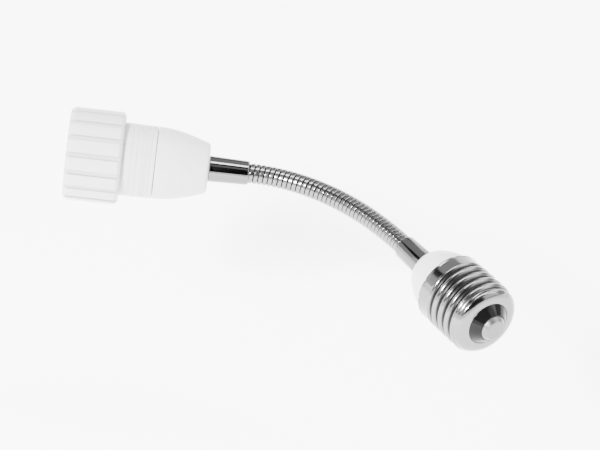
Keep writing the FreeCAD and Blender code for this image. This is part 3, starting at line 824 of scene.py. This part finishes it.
cuts = [-TUCK] + [GAP / 2 + STEP * (length + 0.5) for length in range(9)] + [HOSE + TUCK]
for number in range(10):
    stretch = coil_stretch(number + 1, cuts[number], cuts[number + 1])
    nodes = [f"gooseneck_{number + 1:02d}"] if number < 9 else []
    piece(stretch, coil_steel.material, blend=across_joint(number), nodes=nodes)

# %% [markdown]
# ## The wires
# Two insulated wires run side by side through the coil. In the cap one goes down the middle to the
# contact's shank and the other out to the shell, and in the socket each goes to its contact strip. They
# are cut where the coil is.

# %% The wires inside
WIRE = 0.8                         # mm, a wire's radius
SPREAD = 0.9                       # mm, a wire's middle to the gooseneck's line
LINE_FOOT, NEUTRAL_FOOT = 2.8, 16.1    # mm, the heights at which the wires end in the cap
SHELL_INSIDE = 11.75
WIRES_MEET = 54.0                  # mm, in the cap's ferrule, where they lie side by side
WIRES_PART = 64.0                  # mm, the same in the socket's ferrule
LEAD_END, LEAD_RADIUS = 21.0, 4.8  # mm, the place of a contact strip's foot
LOCK_TURN = 22


def tube(name, path, radius=WIRE, around=16):
    """A closed tube: each point of a path gets a circle square to the path, and both ends a cap."""
    direction = np.gradient(path, axis=0)
    direction /= np.linalg.norm(direction, axis=1)[:, None]
    side = np.cross(direction, (0.0, 0.0, 1.0))
    side /= np.linalg.norm(side, axis=1)[:, None]
    lift = np.cross(side, direction)
    a = np.linspace(0, TAU, around, endpoint=False)
    circle = (side[:, None] * np.cos(a)[:, None] + lift[:, None] * np.sin(a)[:, None]) * radius
    points = path[:, None] + circle
    points = np.concatenate([path[:1, None].repeat(around, 1), points,
                             path[-1:, None].repeat(around, 1)])
    return clean(grid_mesh(name, [(points, False, True, np.arange(len(points)) * 0.3)], as_is))


def wire_path(start, end, sign, number):
    """The wire between two lengths, with its way to the contacts added at both ends."""
    s = np.linspace(start, end, 16)
    path = swept(s, np.zeros_like(s), np.zeros_like(s), sign * SPREAD)
    if number == 0:
        t = np.linspace(0, 1, 30)[:-1]
        low, foot, share = LINE_FOOT, 0.0, 0.5
        if sign < 0:
            low, foot, share = NEUTRAL_FOOT, WIRE - SHELL_INSIDE, 0.38
        z = low + (WIRES_MEET - low) * t
        rise = foot + (sign * SPREAD - foot) * ease(np.clip(t / share, 0, 1))
        inside = cap(np.stack([rise, np.zeros_like(z), z], -1)) / MM
        path = np.vstack([inside, path])
    if number == 9:
        t = np.linspace(0, 1, 30)[1:]
        z = WIRES_PART + (LEAD_END - WIRES_PART) * t
        bend = ease(np.clip((t - 0.45) / 0.5, 0, 1))
        lead_angle = math.radians((270 if sign > 0 else 90) + LOCK_TURN)
        goal = LEAD_RADIUS * np.array((math.cos(lead_angle), math.sin(lead_angle)))
        flat = np.array((sign * SPREAD, 0.0)) + bend[:, None] * (goal - (sign * SPREAD, 0.0))
        path = np.vstack([path, socket(np.column_stack([flat, z])) / MM])
    return path


for label, sign, finish, slot in (("line_wire", 1, brown, "brown_insulation"),
                                  ("neutral_wire", -1, blue, "blue_insulation")):
    for number in range(10):
        path = wire_path(cuts[number], cuts[number + 1], sign, number)
        piece(tube(f"{label}_{number + 1:02d}", path), finish.material,
              blend=across_joint(number), nodes=[label] if number == 0 else [])

# %% [markdown]
# ## What stays as the model made it
# The insert, the contacts, the plate and the nuts already have the right shape. The insert shows in
# the mouth, so a merged copy with its edges broken stands for it; the rest only gets its finish.

# %% The insert with broken edges, and finishes for the rest
source = frame["nodes"]["lamp_insert"]
insert_mesh = source.data.copy()
insert_mesh.name = "lamp_insert_moulded"
insert_mesh.materials.clear()
clean(insert_mesh, 35)
insert = piece(insert_mesh, ceramic.material, "socket", nodes=["lamp_insert"])
edge = insert.modifiers.new("broken edges", "BEVEL")
edge.width = 0.15 * MM
edge.segments = 2
edge.limit_method = "ANGLE"
edge.angle_limit = math.radians(50)

for node, finish in {"contact_left": bronze, "contact_right": bronze, "contact_plate": ceramic,
                     "plug_lock_nut": zinc, "socket_lock_nut": zinc}.items():
    mesh = frame["nodes"][node].data
    for index in range(len(mesh.materials)):
        mesh.materials[index] = finish.material
    print(node, "has", finish.material.name)

# %% [markdown]
# ## Floor and light
# The adapter is held by its cap, and bent all the way down its socket hangs well below the cap. So the
# floor lies lower than anything that the socket can reach, and the photograph's plain white ground has
# no shadow on it either. The pale floor glows by itself and curves up at its edge, as a photographer's
# paper does, so no horizon shows from the side.
#
# One small light left of the camera shapes the plastic: it grades the flutes and throws the ring's
# shadow on the body. Bright metal shows its surroundings instead. The room behind the camera is dark,
# which draws the black bands on the ferrules and in the thread, a wide strip overhead draws their
# highlight, and dim cards at the sides and behind fill in their greys.

# %% Floor
FLOOR_GLOW = 5.0
FLOOR_LOW = -105.0                 # mm, clear of the socket when it is bent all the way down
FLOOR_FLAT, FLOOR_EDGE = 2600.0, 3200.0    # mm, the radii of the flat part and of the edge
FLOOR_RISE = 600.0                 # mm, the edge over the flat part


def stage_floor():
    """A round sheet that is flat, and curves up at its edge by rise * smooth step of the way out."""
    radius = np.append(0.0, np.linspace(FLOOR_FLAT, FLOOR_EDGE, 12))
    share = np.clip((radius - FLOOR_FLAT) / (FLOOR_EDGE - FLOOR_FLAT), 0, 1)
    outline = np.column_stack([radius, FLOOR_LOW + FLOOR_RISE * ease(share)])
    points, _, _, along = turned_grid(outline)
    mesh = grid_mesh("floor", [(points, False, True, along)], as_is)
    mesh.polygons.foreach_set("use_smooth", [True] * len(mesh.polygons))
    made = bpy.data.objects.new("floor", mesh)
    bpy.context.collection.objects.link(made)
    pale = Finish("pale_floor", Roughness=0.9, Emission_Strength=FLOOR_GLOW)
    tone = pale.mix(pale.noise(4.0), colour(0.79, 0.79, 0.79), colour(0.81, 0.81, 0.81))
    pale.set(Base_Color=tone, Emission_Color=tone)
    mesh.materials.append(pale.material)


stage_floor()
print("Floor made")


# %% Lights
def softbox(name, watts, size, azimuth, elevation, distance=1.5, centre=(-0.07, 0.04, 0.0)):
    """An area light that looks at a point, from an azimuth right of the camera and an elevation."""
    round_z, up = math.radians(azimuth), math.radians(elevation)
    where = Vector(centre) + distance * Vector((math.cos(up) * math.sin(round_z),
                                                -math.cos(up) * math.cos(round_z), math.sin(up)))
    light = bpy.data.lights.new(name, "AREA")
    light.shape = "RECTANGLE"
    light.size, light.size_y = size
    light.energy = watts
    made = bpy.data.objects.new(name, light)
    bpy.context.collection.objects.link(made)
    made.location = where
    made.rotation_euler = (Vector(centre) - where).to_track_quat("-Z", "Y").to_euler()


LIGHTS = [
    # name, watts, width and height in metres, azimuth and elevation in degrees
    ("key", 150.0, (0.24, 0.24), -34, 36),
    ("left", 6.0, (1.0, 1.0), -75, 30),
    ("right", 8.0, (0.9, 0.9), 72, 30),
    ("strip", 33.0, (1.2, 0.36), 180, 84),
    ("front_top", 2.6, (2.0, 0.45), 0, 66),
    ("right_high", 26.0, (1.4, 1.0), 112, 50),
    ("right_rear", 7.0, (0.6, 0.8), 160, 24),
    ("ceiling", 11.0, (2.4, 1.2), 180, 56),
    ("left_back", 10.0, (2.0, 0.9), -122, 18),
    ("right_back", 8.0, (2.0, 0.9), 122, 18),
    ("back", 6.0, (3.0, 0.8), 180, 16)]
for light in LIGHTS:
    softbox(*light)
world = bpy.data.worlds.new("studio")
world.use_nodes = True
world.node_tree.nodes["Background"].inputs["Color"].default_value = colour(0.5, 0.5, 0.51)
world.node_tree.nodes["Background"].inputs["Strength"].default_value = 0.03
bpy.context.scene.world = world
print(len(LIGHTS), "lights made")
